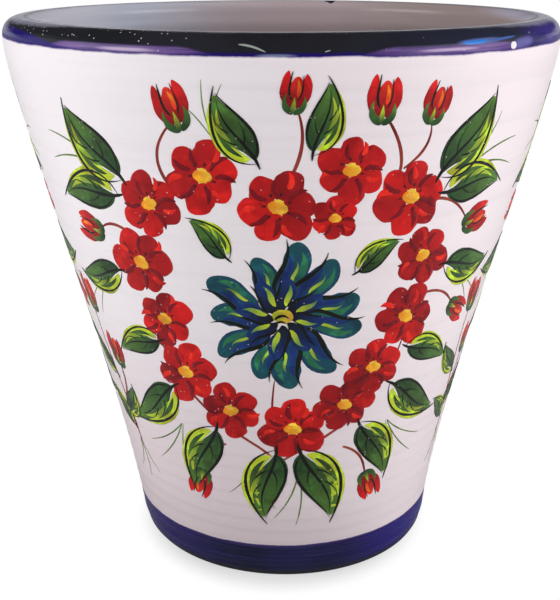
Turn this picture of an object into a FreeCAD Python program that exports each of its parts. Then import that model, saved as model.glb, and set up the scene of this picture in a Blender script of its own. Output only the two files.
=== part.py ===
# A cone planter: a wheel-thrown earthenware pot and the four glaze coats that are fired onto it.
# The clay is one piece: a floor with a drain hole, a flaring wall and a thick rolled rim.
# The coats meet edge to edge: white outside, grey inside, and cobalt on the rim and round the foot.
# Lengths are millimetres. The origin is the centre of the base, on the ground, and +Z points up.
import FreeCAD, Part
import math
import os
import re

import Sketcher

doc = FreeCAD.newDocument("cone_planter")

# The driving dimensions
SIZES = (
    ("pot_height", 300.0, "ground to the top of the glazed rim"),
    ("rim_radius", 148.4, "widest point of the glazed rim"),
    ("foot_radius", 88.6, "clay at the upper edge of the foot, where the wall's sweep starts"),
    ("foot_lean", 1.4, "how far the foot draws in from there down to its bevel"),
    ("wall_low_share", 0.225, "the wall's spread at a third of its sweep: under 1/3 is hollow"),
    ("wall_high_share", 0.7, "the wall's spread at two thirds of it: over 2/3 is full"),
    ("shoulder_round", 60.0, "round where the wall turns upright under the rim"),
    ("neck_rise", 7.8, "upright neck between the shoulder and the rim"),
    ("neck_share", 0.97, "of the neck, the most that the shoulder's round may take"),
    ("wall_thickness", 10.0, "clay wall, measured level"),
    ("floor_thickness", 14.0, "ground to the clay floor inside"),
    ("floor_round", 18.0, "round between the floor and the wall inside"),
    ("glaze_thickness", 0.6, "every coat, measured level on the wall"),
    ("bevel_height", 9.0, "bevel that is turned on the foot"),
    ("bevel_width", 2.4, "how far the bevel draws in"),
    ("ring_width", 13.0, "ring that the pot stands on"),
    ("ring_round", 1.0, "sponged edges of that ring"),
    ("recess_depth", 3.0, "hollow turned under the floor"),
    ("recess_slope", 4.0, "width of the slope up into that hollow"),
    ("drain_radius", 10.0, "drain hole through the floor"),
    ("drain_round", 1.5, "sponged edges of the drain hole"),
    ("drain_margin", 3.5, "bare clay from the drain hole to the grey glaze"),
    ("rim_overhang", 0.5, "how far the rolled rim stands out past the neck"),
    ("rim_undercut", 1.2, "height over which the rim's lower edge runs back to the neck"),
    ("rim_depth", 9.4, "top of the clay rim to its lower outer edge"),
    ("rim_thickness", 17.0, "clay of the rolled rim, across"),
    ("rim_outer_round", 8.0, "outer shoulder of the rolled rim"),
    ("rim_inner_round", 5.0, "inner shoulder of the rolled rim"),
    ("rim_inner_depth", 14.0, "top of the clay rim to the lower end of its inner face"),
    ("rim_inner_run", 14.0, "height over which the rolled rim runs back to the wall inside"),
    ("rim_inner_blend", 12.0, "rounds at both ends of that run"),
    ("blue_width", 2.9, "how far the rim's blue runs in over the flat crest"),
    ("band_height", 21.0, "ground to the upper edge of the foot and of its blue band"),
    ("band_gap", 2.2, "bare clay under that band"),
)

# Places that follow from them: the corners of the pot's profile, and the poles of its sweeps.
# A sweep is a cubic curve whose inner poles stand at a third and two thirds of its height.
PLACES = (
    ("crown", "pot_height - glaze_thickness", "top of the clay rim"),
    ("rim_face", "rim_radius - glaze_thickness", "outer face of the clay rim"),
    ("rim_bore", "rim_face - rim_thickness", "inner face of the clay rim"),
    ("rim_edge", "crown - rim_depth", "lower outer edge of the rim"),
    ("rim_shoulder", "crown - rim_outer_round", "lower end of the outer shoulder"),
    ("crest_start", "rim_face - rim_outer_round", "outer end of the rim's flat crest"),
    ("blue_edge", "crest_start - blue_width", "where the rim's blue meets the grey"),
    ("crest_end", "rim_bore + rim_inner_round", "inner end of the rim's flat crest"),
    ("bore_top", "crown - rim_inner_round", "lower end of the inner shoulder"),
    ("bore_foot", "crown - rim_inner_depth", "lower end of the rim's inner face"),
    ("neck_radius", "rim_face - rim_overhang", "upright neck"),
    ("neck_top", "rim_edge - rim_undercut", "upper end of the neck"),
    ("neck_foot", "neck_top - neck_rise", "lower end of the neck and top of the wall's sweep"),
    ("wall_low", "foot_radius + (neck_radius - foot_radius) * wall_low_share", "lower pole, out"),
    ("wall_low_height", "(2 * band_height + neck_foot) / 3", "lower pole, up"),
    ("wall_high", "foot_radius + (neck_radius - foot_radius) * wall_high_share", "upper pole, out"),
    ("wall_high_height", "(band_height + 2 * neck_foot) / 3", "upper pole, up"),
    ("wall_slope", "(neck_radius - wall_high) / (neck_foot - wall_high_height)", "below the neck"),
    (
        "shoulder_fit",
        "min(shoulder_round; neck_rise * neck_share * wall_slope / (sqrt(1 + wall_slope ^ 2) - 1))",
        "the shoulder's round, where its neck has room for it",
    ),
    ("bevel_top", "foot_radius - foot_lean", "clay at the top of the foot's bevel"),
    ("heel_radius", "bevel_top - bevel_width * (1 - band_gap / bevel_height)", "band's lower edge"),
    ("ring_outside", "bevel_top - bevel_width", "outer edge of the ring on the ground"),
    ("ring_inside", "ring_outside - ring_width", "inner edge of the ring on the ground"),
    ("recess_radius", "ring_inside - recess_slope", "flat of the hollow under the floor"),
    ("corner_radius", "bevel_top - wall_thickness", "clay wall at the floor, inside"),
    ("inside_top", "bore_foot - rim_inner_run", "where the rolled rim has run back to the wall"),
    ("rise_part", "(inside_top - band_height) / (neck_foot - band_height)", "of the outer sweep"),
    (
        "inside_top_radius",
        "foot_radius * (1 - rise_part) ^ 3 + 3 * wall_low * (1 - rise_part) ^ 2 * rise_part"
        " + 3 * wall_high * (1 - rise_part) * rise_part ^ 2 + neck_radius * rise_part ^ 3"
        " - wall_thickness",
        "clay wall there, inside: the outer sweep's radius at that height less the wall",
    ),
    ("inside_spread", "inside_top_radius - corner_radius", "of the wall, inside"),
    ("inside_low", "corner_radius + inside_spread * wall_low_share", "inner lower pole, out"),
    ("inside_low_height", "(2 * floor_thickness + inside_top) / 3", "inner lower pole, up"),
    ("inside_high", "corner_radius + inside_spread * wall_high_share", "inner upper pole, out"),
    ("inside_high_height", "(floor_thickness + 2 * inside_top) / 3", "inner upper pole, up"),
    ("glazed_floor", "floor_thickness + glaze_thickness", "top of the grey coat on the floor"),
    ("grey_edge", "drain_radius + drain_margin", "edge of the grey coat round the hole"),
)

size = doc.addObject("Spreadsheet::Sheet", "size")
for row, (alias, number, meaning) in enumerate(SIZES, start=1):
    size.set(f"A{row}", alias)
    size.set(f"B{row}", str(number))
    size.set(f"C{row}", meaning)
    size.setAlias(f"B{row}", alias)
for row, (alias, formula, meaning) in enumerate(PLACES, start=len(SIZES) + 1):
    size.set(f"A{row}", alias)
    size.set(f"B{row}", "=" + formula)
    size.set(f"C{row}", meaning)
    size.setAlias(f"B{row}", alias)
doc.recompute()

GROUND = "ground"
AXIS = "axis"


def expression(words):
    """A sum of the sheet's values, such as 'crown - rim_depth', with each one's sheet named."""
    return re.sub(r"[a-z_]+", r"size.\g<0>", words)


def amount(words):
    """The same sum as a number."""
    if words in (GROUND, AXIS):
        return 0.0
    total = 0.0
    sign = 1
    for word in words.split():
        if word == "+":
            sign = 1
        elif word == "-":
            sign = -1
        else:
            total += sign * size.get(word)
    return total


def point(corner):
    """The place of a corner, which starts with its radius and its height, in the profile's plane."""
    return FreeCAD.Vector(amount(corner[0]), amount(corner[1]), 0)


def bind(sketch, words, *constraint):
    """Adds a constraint whose size is a sum of the sheet's values, and keeps it bound to them."""
    number = sketch.addConstraint(Sketcher.Constraint(*constraint, amount(words)))
    sketch.setExpression(f"Constraints[{number}]", expression(words))


def pin(sketch, corner, *vertex):
    """Holds a vertex at the corner's radius and height. A sketch counts its two axes as -1 and -2."""
    for kind, axis, words in (("DistanceX", -2, corner[0]), ("DistanceY", -1, corner[1])):
        if words in (GROUND, AXIS):
            sketch.addConstraint(Sketcher.Constraint("PointOnObject", *vertex, axis))
        else:
            bind(sketch, words, kind, -1, 1, *vertex)


def line(sketch, start, end):
    """A straight edge. Returns its number and its first and last vertex."""
    return sketch.addGeometry(Part.LineSegment(point(start), point(end))), 1, 2


def arc(sketch, start, end, radius, centre_side):
    """An arc under a half circle, with its centre on the named side on the way to its end."""
    first, last = point(start), point(end)
    along = last - first
    left = FreeCAD.Vector(-along.y, along.x, 0).normalize()
    reach = math.sqrt(amount(radius) ** 2 - along.Length**2 / 4)
    turns_left = centre_side == "left"
    centre = (first + last) / 2 + left * (reach if turns_left else -reach)
    ends = (first, last) if turns_left else (last, first)
    angles = [math.atan2(place.y - centre.y, place.x - centre.x) for place in ends]
    circle = Part.Circle(centre, FreeCAD.Vector(0, 0, 1), amount(radius))
    edge = sketch.addGeometry(Part.ArcOfCircle(circle, *angles))
    bind(sketch, radius, "Radius", edge)
    return (edge, 1, 2) if turns_left else (edge, 2, 1)


def sweep(sketch, start, end, *poles):
    """A cubic curve from start to end, drawn towards two poles between them."""
    curve = Part.BSplineCurve()
    corners = (start, *poles, end)
    places = [point(corner) for corner in corners]
    curve.buildFromPolesMultsKnots(places, [4, 4], [0, 1], False, 3)
    edge = sketch.addGeometry(curve)
    for number, pole in enumerate(poles, start=1):
        mark = sketch.addGeometry(Part.Circle(places[number], FreeCAD.Vector(0, 0, 1), 1), True)
        kind = "InternalAlignment:Sketcher::BSplineControlPoint"
        sketch.addConstraint(Sketcher.Constraint(kind, mark, 3, edge, number))
        sketch.addConstraint(Sketcher.Constraint("Weight", mark, 1.0))
        pin(sketch, pole, mark, 3)
    return edge, 1, 2


def outline(sketch, corners):
    """Draws a closed outline. Each corner is a radius and a height, then what leads on from it: an
    arc's radius and side, a sweep's two poles, or nothing for a straight edge."""
    edges = []
    for number, corner in enumerate(corners):
        start, onward, end = corner[:2], corner[2:], corners[(number + 1) % len(corners)][:2]
        if not onward:
            edges.append(line(sketch, start, end))
        elif onward[1] in ("left", "right"):
            edges.append(arc(sketch, start, end, *onward))
        else:
            edges.append(sweep(sketch, start, end, *onward))
    for number, corner in enumerate(corners):
        edge, first, last = edges[number]
        previous, previous_first, previous_last = edges[number - 1]
        sketch.addConstraint(
            Sketcher.Constraint("Coincident", previous, previous_last, edge, first)
        )
        pin(sketch, corner, edge, first)


def origin_plane(body, role):
    """One of the body's own three origin planes."""
    return next(part for part in body.Origin.OriginFeatures if part.Role == role)


def turned(label, corners):
    """A body turned about the pot's axis from one closed outline."""
    body = doc.addObject("PartDesign::Body", label)
    body.Label = label
    sketch = body.newObject("Sketcher::SketchObject", f"{label}_profile")
    sketch.AttachmentSupport = [(origin_plane(body, "XZ_Plane"), "")]
    sketch.MapMode = "FlatFace"
    outline(sketch, corners)
    turning = body.newObject("PartDesign::Revolution", f"{label}_turning")
    turning.Profile = sketch
    turning.ReferenceAxis = (sketch, ["V_Axis"])
    turning.Angle = 360
    sketch.Visibility = False
    doc.recompute()
    return body


def soften(body, name, radius, rings):
    """Rounds the ring-shaped edges of a body that lie at the given radii and heights."""
    base = body.Tip
    edges = []
    for ring in rings:
        wanted = point(ring)
        found = [
            f"Edge{number}"
            for number, edge in enumerate(base.Shape.Edges, start=1)
            if isinstance(edge.Curve, Part.Circle)
            and edge.BoundBox.ZLength < edge.Tolerance * 10
            and abs(edge.Curve.Radius - wanted.x) < edge.Tolerance * 10
            and abs(edge.Curve.Center.z - wanted.y) < edge.Tolerance * 10
        ]
        if len(found) != 1:
            raise RuntimeError(f"{name}: {len(found)} edges at {ring}")
        edges += found
    rounding = body.newObject("PartDesign::Fillet", name)
    rounding.Base = (base, edges)
    rounding.setExpression("Radius", expression(radius))
    base.Visibility = False
    doc.recompute()


# The clay: foot ring, bevel, foot, the wall's sweep, neck, rolled rim, and back down inside
clay = turned(
    "clay_body",
    (
        (AXIS, "recess_depth"),
        ("recess_radius", "recess_depth"),
        ("ring_inside", GROUND),
        ("ring_outside", GROUND),
        ("bevel_top", "bevel_height"),
        (
            "foot_radius",
            "band_height",
            ("wall_low", "wall_low_height"),
            ("wall_high", "wall_high_height"),
        ),
        ("neck_radius", "neck_foot"),
        ("neck_radius", "neck_top"),
        ("rim_face", "rim_edge"),
        ("rim_face", "rim_shoulder", "rim_outer_round", "left"),
        ("crest_start", "crown"),
        ("crest_end", "crown", "rim_inner_round", "left"),
        ("rim_bore", "bore_top"),
        ("rim_bore", "bore_foot"),
        (
            "inside_top_radius",
            "inside_top",
            ("inside_high", "inside_high_height"),
            ("inside_low", "inside_low_height"),
        ),
        ("corner_radius", "floor_thickness"),
        (AXIS, "floor_thickness"),
    ),
)
soften(clay, "shoulder", "shoulder_fit", (("neck_radius", "neck_foot"),))
soften(clay, "floor_corner", "floor_round", (("corner_radius", "floor_thickness"),))
soften(
    clay,
    "rolled_under",
    "rim_inner_blend",
    (("rim_bore", "bore_foot"), ("inside_top_radius", "inside_top")),
)
soften(clay, "ring_edges", "ring_round", (("ring_inside", GROUND), ("ring_outside", GROUND)))

# The drain hole, cut up through the floor
drain_sketch = clay.newObject("Sketcher::SketchObject", "drain_circle")
drain_sketch.AttachmentSupport = [(origin_plane(clay, "XY_Plane"), "")]
drain_sketch.MapMode = "FlatFace"
drain_circle = Part.Circle(FreeCAD.Vector(), FreeCAD.Vector(0, 0, 1), amount("drain_radius"))
drain_edge = drain_sketch.addGeometry(drain_circle)
drain_sketch.addConstraint(Sketcher.Constraint("Coincident", drain_edge, 3, -1, 1))
bind(drain_sketch, "drain_radius", "Radius", drain_edge)
doc.recompute()
undrained = clay.Tip
drain = clay.newObject("PartDesign::Pocket", "drain_hole")
drain.Profile = drain_sketch
drain.Type = "Length"
drain.setExpression("Length", expression("floor_thickness"))
drain.Reversed = True
drain_sketch.Visibility = False
undrained.Visibility = False
doc.recompute()
removed = undrained.Shape.Volume - drain.Shape.Volume
drilled = math.pi * amount("drain_radius") ** 2 * amount("floor_thickness - recess_depth")
if abs(removed - drilled) > drilled / 1000:
    raise RuntimeError("the drain hole isn't cut through the floor")
soften(
    clay,
    "drain_edges",
    "drain_round",
    (("drain_radius", "recess_depth"), ("drain_radius", "floor_thickness")),
)

# White coat: the outside of the wall, from the blue band up to the blue of the rim
white = turned(
    "outer_glaze",
    (
        ("foot_radius", "band_height"),
        (
            "foot_radius + glaze_thickness",
            "band_height",
            ("wall_low + glaze_thickness", "wall_low_height"),
            ("wall_high + glaze_thickness", "wall_high_height"),
        ),
        ("neck_radius + glaze_thickness", "neck_foot"),
        ("neck_radius + glaze_thickness", "neck_top"),
        ("rim_radius", "rim_edge"),
        ("rim_face", "rim_edge"),
        ("neck_radius", "neck_top"),
        (
            "neck_radius",
            "neck_foot",
            ("wall_high", "wall_high_height"),
            ("wall_low", "wall_low_height"),
        ),
    ),
)
soften(
    white,
    "glazed_shoulder",
    "shoulder_fit",
    (("neck_radius", "neck_foot"), ("neck_radius + glaze_thickness", "neck_foot")),
)

# Cobalt on the rim: its outer face, outer shoulder and most of its crest
turned(
    "rim_glaze",
    (
        ("rim_face", "rim_edge"),
        ("rim_radius", "rim_edge"),
        ("rim_radius", "rim_shoulder", "rim_outer_round + glaze_thickness", "left"),
        ("crest_start", "pot_height"),
        ("blue_edge", "pot_height"),
        ("blue_edge", "crown"),
        ("crest_start", "crown", "rim_outer_round", "right"),
        ("rim_face", "rim_shoulder"),
    ),
)

# Cobalt round the foot: its face and its bevel, clear of the ground
turned(
    "foot_glaze",
    (
        ("heel_radius", "band_gap"),
        ("heel_radius + glaze_thickness", "band_gap"),
        ("bevel_top + glaze_thickness", "bevel_height"),
        ("foot_radius + glaze_thickness", "band_height"),
        ("foot_radius", "band_height"),
        ("bevel_top", "bevel_height"),
    ),
)

# Grey coat: the rest of the rim's crest, down the inside and over the floor to the drain hole
grey = turned(
    "inner_glaze",
    (
        ("grey_edge", "floor_thickness"),
        (
            "corner_radius",
            "floor_thickness",
            ("inside_low", "inside_low_height"),
            ("inside_high", "inside_high_height"),
        ),
        ("inside_top_radius", "inside_top"),
        ("rim_bore", "bore_foot"),
        ("rim_bore", "bore_top", "rim_inner_round", "right"),
        ("crest_end", "crown"),
        ("blue_edge", "crown"),
        ("blue_edge", "pot_height"),
        ("crest_end", "pot_height", "rim_inner_round + glaze_thickness", "left"),
        ("rim_bore - glaze_thickness", "bore_top"),
        ("rim_bore - glaze_thickness", "bore_foot"),
        (
            "inside_top_radius - glaze_thickness",
            "inside_top",
            ("inside_high - glaze_thickness", "inside_high_height"),
            ("inside_low - glaze_thickness", "inside_low_height"),
        ),
        ("corner_radius - glaze_thickness", "glazed_floor"),
        ("grey_edge", "glazed_floor"),
    ),
)
soften(
    grey,
    "glazed_floor_corner",
    "floor_round",
    (("corner_radius", "floor_thickness"), ("corner_radius - glaze_thickness", "glazed_floor")),
)
soften(
    grey,
    "glazed_under_rim",
    "rim_inner_blend",
    (
        ("rim_bore", "bore_foot"),
        ("rim_bore - glaze_thickness", "bore_foot"),
        ("inside_top_radius", "inside_top"),
        ("inside_top_radius - glaze_thickness", "inside_top"),
    ),
)

for item in doc.Objects:
    if "Invalid" in item.State or "Error" in item.State:
        raise RuntimeError(f"{item.Label} didn't compute: {item.State}")

os.makedirs("parts", exist_ok=True)
for body in doc.findObjects("PartDesign::Body"):
    shape = body.Shape
    if shape.isNull() or not shape.isValid() or len(shape.Solids) != 1:
        raise RuntimeError(f"{body.Label} isn't one sound solid")
    shape.exportStep(f"parts/{body.Label}.step")
    print(f"{body.Label}: {shape.Volume / 1000:.1f} cubic cm")
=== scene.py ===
import bpy
import numpy as np
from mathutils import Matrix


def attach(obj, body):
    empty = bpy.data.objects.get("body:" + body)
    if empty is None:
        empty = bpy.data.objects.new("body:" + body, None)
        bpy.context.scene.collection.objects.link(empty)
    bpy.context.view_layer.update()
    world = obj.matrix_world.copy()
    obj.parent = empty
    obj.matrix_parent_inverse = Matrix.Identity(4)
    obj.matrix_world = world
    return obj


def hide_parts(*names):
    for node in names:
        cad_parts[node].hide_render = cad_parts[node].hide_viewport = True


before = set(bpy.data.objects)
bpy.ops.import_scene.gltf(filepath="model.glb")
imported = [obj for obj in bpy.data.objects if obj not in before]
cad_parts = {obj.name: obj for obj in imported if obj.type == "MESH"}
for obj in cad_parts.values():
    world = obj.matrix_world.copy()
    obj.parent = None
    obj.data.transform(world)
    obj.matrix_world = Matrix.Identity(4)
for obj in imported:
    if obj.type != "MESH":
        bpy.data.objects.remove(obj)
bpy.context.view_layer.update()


# The pot's clay: one thrown piece of red earthenware with a ring to stand on, a drain hole and a
# thick rolled rim. Only its underside stays bare. The wheel and the hand leave it a little uneven.
pot_height = 0.3
glaze_thickness = 0.0006
crown = pot_height - glaze_thickness
rim_face = 0.1478
rim_bore = 0.1308
rim_edge = 0.29
neck_radius = 0.1473
neck_top = 0.2888
neck_foot = 0.281
shoulder_round = 0.06
crest_outer_round = 0.008
crest_inner_round = 0.005
bore_foot = 0.2854
inside_top = 0.2714
under_rim_round = 0.012
foot_radius = 0.0886
band_height = 0.021
bevel_radius = 0.0872
bevel_height = 0.009
ring_outside = 0.0848
ring_inside = 0.0718
recess_radius = 0.0678
recess_depth = 0.003
floor_thickness = 0.014
corner_radius = 0.0772
floor_round = 0.018
drain_radius = 0.01
drain_round = 0.0015
wall_thickness = 0.01
seam_height = floor_thickness - 0.002
small_round = 0.001
bevel_round = 0.002
ring_step = 0.008
ring_depth = 0.00006
faint_ring_depth = 0.000025
rings_fade = 0.11
rings_end = 0.287
out_of_round = 0.00025
off_axis = 0.001


def swept(start, end, low_share=0.225, high_share=0.7, steps=33):
    """Points of a wall's sweep: the height runs evenly, and the radius follows a cubic whose two
    inner poles stand at these shares of its spread. The last column, the round, is none."""
    way = np.linspace(0, 1, steps)
    spread = 3 * low_share * (1 - way) ** 2 * way + 3 * high_share * (1 - way) * way**2 + way**3
    start, end = np.array(start), np.array(end)
    radius = start[0] + (end[0] - start[0]) * spread
    height = start[1] + (end[1] - start[1]) * way
    return np.column_stack((radius, height, np.zeros(steps)))


def profile(*runs, longest=0.001):
    """A line through corners of radius, height and round. A round is an arc as long as the corner
    allows: a rational curve whose middle weight is the cosine of half the turn. Steps longer than
    the longest are divided evenly."""
    corners = np.vstack(runs)
    points = [corners[:1, :2]]
    for before, (radius, height, bend), after in zip(corners, corners[1:], corners[2:]):
        corner = np.array((radius, height))
        back, on = before[:2] - corner, after[:2] - corner
        back, on = back / np.linalg.norm(back), on / np.linalg.norm(on)
        half = (np.pi - np.arccos(np.clip(back @ on, -1, 1))) / 2
        way = np.linspace(0, 1, 9 if bend else 1)[:, None]
        reach = bend * np.tan(half)
        weight = 2 * np.cos(half) * way * (1 - way)
        arc = (1 - way) ** 2 * (corner + back * reach) + weight * corner
        arc += way**2 * (corner + on * reach)
        points.append(arc / ((1 - way) ** 2 + weight + way**2))
    points.append(corners[-1:, :2])
    points = np.vstack(points)
    steps = np.hypot(*np.diff(points, axis=0).T)
    points = points[np.append(True, steps > 1e-7)]
    steps = steps[steps > 1e-7]
    parts = np.ceil(steps / longest).astype(int)
    piece = np.repeat(np.arange(len(steps)), parts)
    share = (np.arange(parts.sum()) - np.repeat(np.cumsum(parts) - parts, parts)) / parts[piece]
    return points[piece] + (points[piece + 1] - points[piece]) * share[:, None]


def settled(radius, height, angle):
    """Where the fired pot really has a point of its plain form. Rings from the wheel climb a step a
    turn and fade towards the top, the form is a hair oval, and the foot sits off to one side."""
    climb = 2 * np.pi * (height + 0.0012 * np.sin(height / 0.019)) / ring_step + angle
    depth = faint_ring_depth + ring_depth / (1 + np.exp((height - rings_fade) / 0.022))
    depth = depth * np.clip((rings_end - height) / 0.012, 0, 1)
    ring = depth * (np.sin(climb + 0.7 * np.sin(climb)) - 1)
    oval = -out_of_round * (height / pot_height) * (1.2 + np.cos(2 * angle))
    off_centre = off_axis * (1 - height / pot_height) + off_axis * np.exp(-height / 0.025)
    grown = radius + (ring + oval) * np.clip((radius - 0.02) / 0.05, 0, 1)
    flat = height + np.zeros_like(angle)
    return np.stack((grown * np.sin(angle) + off_centre, -grown * np.cos(angle), flat), axis=-1)


def turned(name, stands_for, points, material, columns=224):
    """A closed profile turned about the axis, once round at even angles, then settled. Its profile
    climbs outside and comes down inside, so that every face looks outwards."""
    angle = np.linspace(0, 2 * np.pi, columns, endpoint=False)[None, :]
    place = settled(points[:, :1], points[:, 1:], angle)
    row, column = np.indices(place.shape[:2])
    above, beside = (row + 1) % len(points), (column + 1) % columns
    corners = ((row, column), (row, beside), (above, beside), (above, column))
    faces = np.stack([r * columns + c for r, c in corners], axis=-1).reshape(-1, 4)
    return piece_of(name, place.reshape(-1, 3), faces, material, stands_for)


def piece_of(name, place, faces, material, stands_for=None, points=np.zeros((0, 3), int)):
    """A smooth mesh of four-cornered faces, and of three-cornered ones at its points, riding on the
    pot and standing for a node if named. It is sharp only where its faces really meet at an edge."""
    mesh = bpy.data.meshes.new(name)
    mesh.vertices.add(len(place))
    mesh.vertices.foreach_set("co", place.astype(np.float32).ravel())
    mesh.loops.add(faces.size + points.size)
    order = np.concatenate((faces.ravel(), points.ravel())).astype(np.int32)
    mesh.loops.foreach_set("vertex_index", order)
    mesh.polygons.add(len(faces) + len(points))
    starts = (np.arange(len(faces)) * 4, faces.size + np.arange(len(points)) * 3)
    mesh.polygons.foreach_set("loop_start", np.concatenate(starts).astype(np.int32))
    mesh.update(calc_edges=True)
    mesh.shade_smooth()
    mesh.set_sharp_from_angle(angle=np.radians(50))
    mesh.materials.append(material)
    piece = bpy.data.objects.new(name, mesh)
    bpy.context.scene.collection.objects.link(piece)
    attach(piece, "root")
    if stands_for:
        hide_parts(stands_for)
    return piece


def node(tree, kind, sockets=None, **settings):
    """Adds a node with its settings, and fills its sockets with values or with links."""
    made = tree.nodes.new(kind)
    for setting, value in settings.items():
        setattr(made, setting, value)
    for socket, value in (sockets or {}).items():
        if isinstance(value, bpy.types.NodeSocket):
            tree.links.new(value, made.inputs[socket])
        else:
            made.inputs[socket].default_value = value
    return made


def ranged(tree, value, low, high, to_low=0.0, to_high=1.0):
    """The value, carried smoothly from one range to another and held at its ends."""
    sockets = {"Value": value, "From Min": low, "From Max": high, "To Min": to_low, "To Max": to_high}
    return node(tree, "ShaderNodeMapRange", sockets, interpolation_type="SMOOTHSTEP").outputs[0]


def mixed(tree, share, first, second):
    """The first colour turning into the second as the share goes from 0 to 1."""
    return node(tree, "ShaderNodeMix", {0: share, 6: first, 7: second}, data_type="RGBA").outputs[2]


def tinted(tree, colour, *tints):
    """A colour with tints laid over it in turn. Each has its colour, the value that it follows,
    where along that value it starts and is full, and its share where it is full."""
    for tint, value, start, full, share in tints:
        colour = mixed(tree, ranged(tree, value, start, full, 0.0, share), colour, tint)
    return colour


def math(tree, operation, first, second=0.0):
    """One sum on two values."""
    return node(tree, "ShaderNodeMath", {0: first, 1: second}, operation=operation).outputs[0]


def plus(tree, value, other, share):
    """A value plus a share of another."""
    return math(tree, "ADD", value, math(tree, "MULTIPLY", other, share))


def noise(tree, place, scale, detail=3.0, stretch=None):
    """Noise from 0 to 1 over the place, at so many cells a metre, squeezed by the stretch."""
    if stretch is not None:
        place = node(tree, "ShaderNodeMapping", {0: place, "Scale": stretch}).outputs[0]
    sockets = {"Vector": place, "Scale": scale, "Detail": detail}
    return node(tree, "ShaderNodeTexNoise", sockets).outputs[0]


def xyz(tree, place):
    """The X, Y and Z of a place."""
    return node(tree, "ShaderNodeSeparateXYZ", {0: place}).outputs


def bumped(tree, shader, height, strength, depth):
    """Lets the surface rise and fall with the height."""
    bump = node(tree, "ShaderNodeBump", {"Strength": strength, "Distance": depth, "Height": height})
    tree.links.new(bump.outputs[0], shader.inputs["Normal"])


def effect(name, takes, gives):
    """A group of nodes that several finishes share: it, what it takes, and where its results go."""
    group = bpy.data.node_groups.new(name, "ShaderNodeTree")
    for in_out, sockets in (("INPUT", takes), ("OUTPUT", gives)):
        for socket, kind in sockets.items():
            group.interface.new_socket(socket, in_out=in_out, socket_type="NodeSocket" + kind)
    return group, node(group, "NodeGroupInput").outputs, node(group, "NodeGroupOutput").inputs


def laid(tree, group, **sockets):
    """What an effect gives to one finish, with that finish's own values."""
    return node(tree, "ShaderNodeGroup", sockets, node_tree=group).outputs


def fired(name):
    """A new finish: its tree, its shader, and the place on the pot that its patterns read."""
    material = bpy.data.materials.new(name)
    material.use_nodes = True
    tree = material.node_tree
    place = node(tree, "ShaderNodeTexCoord").outputs["Object"]
    return material, tree, tree.nodes["Principled BSDF"], place


# How far a point lies from the pot's axis, with a stray that makes a glaze's edge uneven.
from_axis, taken, given = effect(
    "distance from the axis", {"Place": "Vector", "Stray": "Float"}, {"Distance": "Float"}
)
spot = xyz(from_axis, taken["Place"])
level = node(from_axis, "ShaderNodeCombineXYZ", {"X": spot["X"], "Y": spot["Y"]}).outputs[0]
out = node(from_axis, "ShaderNodeVectorMath", {0: level}, operation="LENGTH").outputs["Value"]
out = plus(from_axis, out, noise(from_axis, taken["Place"], 60, 3), taken["Stray"])
from_axis.links.new(out, given["Distance"])

deep_red, warm_red, sandy = (0.42, 0.17, 0.09, 1), (0.56, 0.26, 0.14, 1), (0.72, 0.5, 0.34, 1)
ground_shade_black = (0.02, 0.019, 0.03, 1)
bare_clay, tree, shader, place = fired("fired red clay")
shader.inputs["Roughness"].default_value = 0.85
speck = noise(tree, place, 900, 2)
clay_colour = tinted(
    tree, deep_red,
    (warm_red, noise(tree, place, 28), 0.35, 0.65, 1),
    (sandy, speck, 0.62, 0.7, 0.6),
    # Painted shade: the clay turns near-black at its outer edge, next to the ground.
    (ground_shade_black, laid(tree, from_axis, Place=place, Stray=0.0)["Distance"], 0.0812, 0.0822, 1),
)
tree.links.new(clay_colour, shader.inputs["Base Color"])
bumped(tree, shader, speck, 0.35, 0.0003)

outside_ends = (foot_radius, band_height), (neck_radius, neck_foot)
outside_wall, fine_wall = swept(*outside_ends), swept(*outside_ends, steps=400)
inside_radius = np.interp(inside_top, fine_wall[:, 1], fine_wall[:, 0]) - wall_thickness
inside_ends = (corner_radius, floor_thickness), (inside_radius, inside_top)
inside_wall, hidden_wall = swept(*inside_ends), swept(*inside_ends, steps=12)
clay_line = profile(
    ((drain_radius, seam_height, 0), (drain_radius, recess_depth, drain_round)),
    ((recess_radius, recess_depth, small_round), (ring_inside, 0, small_round)),
    ((ring_outside, 0, small_round), (bevel_radius, bevel_height, bevel_round)),
    outside_wall[:-1],
    ((neck_radius, neck_foot, shoulder_round), (neck_radius, neck_top, 0), (rim_face, rim_edge, 0)),
    ((rim_face, crown, crest_outer_round), (rim_bore, crown, crest_inner_round)),
    ((rim_bore, bore_foot, under_rim_round), (inside_radius, inside_top, under_rim_round)),
    hidden_wall[-2:0:-1],
    ((corner_radius, floor_thickness, floor_round), (drain_radius, floor_thickness, drain_round)),
    ((drain_radius, seam_height, 0),),
    longest=0.004,
)[:-1]
turned("pot_clay", "clay_body", clay_line, bare_clay)


# The outside: an opaque white tin glaze with a faint pink cast, poured over the wall from the foot
# to the rim. It pools a little in the wheel's rings, and the foot's cobalt has run over its edge.
rim_radius = rim_face + glaze_thickness
white_shoulder = rim_radius - 0.0005
glazes_meet = 0.2885
brushed_to = 0.0226
run_length = 0.0018
cool_white, pink_white = (0.86, 0.808, 0.835, 1), (0.87, 0.775, 0.805, 1)
pooled_white, low_shade_white = (0.74, 0.67, 0.7, 1), (0.71, 0.61, 0.64, 1)
heel_shade_white = (0.54, 0.46, 0.48, 1)
cobalt, violet = (0.022, 0.018, 0.125, 1), (0.2, 0.13, 0.32, 1)
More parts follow.
